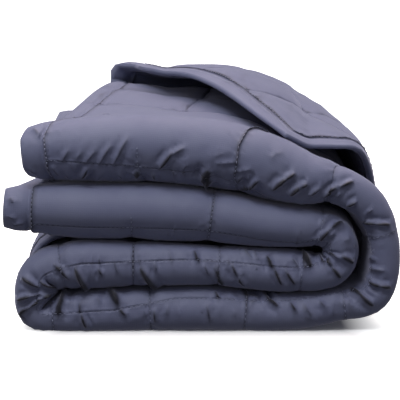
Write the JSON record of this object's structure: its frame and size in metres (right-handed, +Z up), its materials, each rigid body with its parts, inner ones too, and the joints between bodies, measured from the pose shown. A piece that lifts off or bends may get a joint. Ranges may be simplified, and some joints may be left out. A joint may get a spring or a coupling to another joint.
{
  "type": "folded weighted blanket",
  "caption": "Quilted weighted blanket folded in thirds, then back and forth into a soft pile, with the last third of its top layer turned askew.",
  "frame": {"origin": "middle of the base, on the surface the pile rests on", "axes": "+Z up; the front folds face -Y; X runs along the folded strip, the outer fold at +X"},
  "size_m": [0.4224, 0.423, 0.2703],
  "materials": {
    "weighted_blanket": "matt brushed cloth in slate blue"
  },
  "bodies": {
    "root": {"weighted_blanket": "weighted_blanket"}
  },
  "joints": []
}
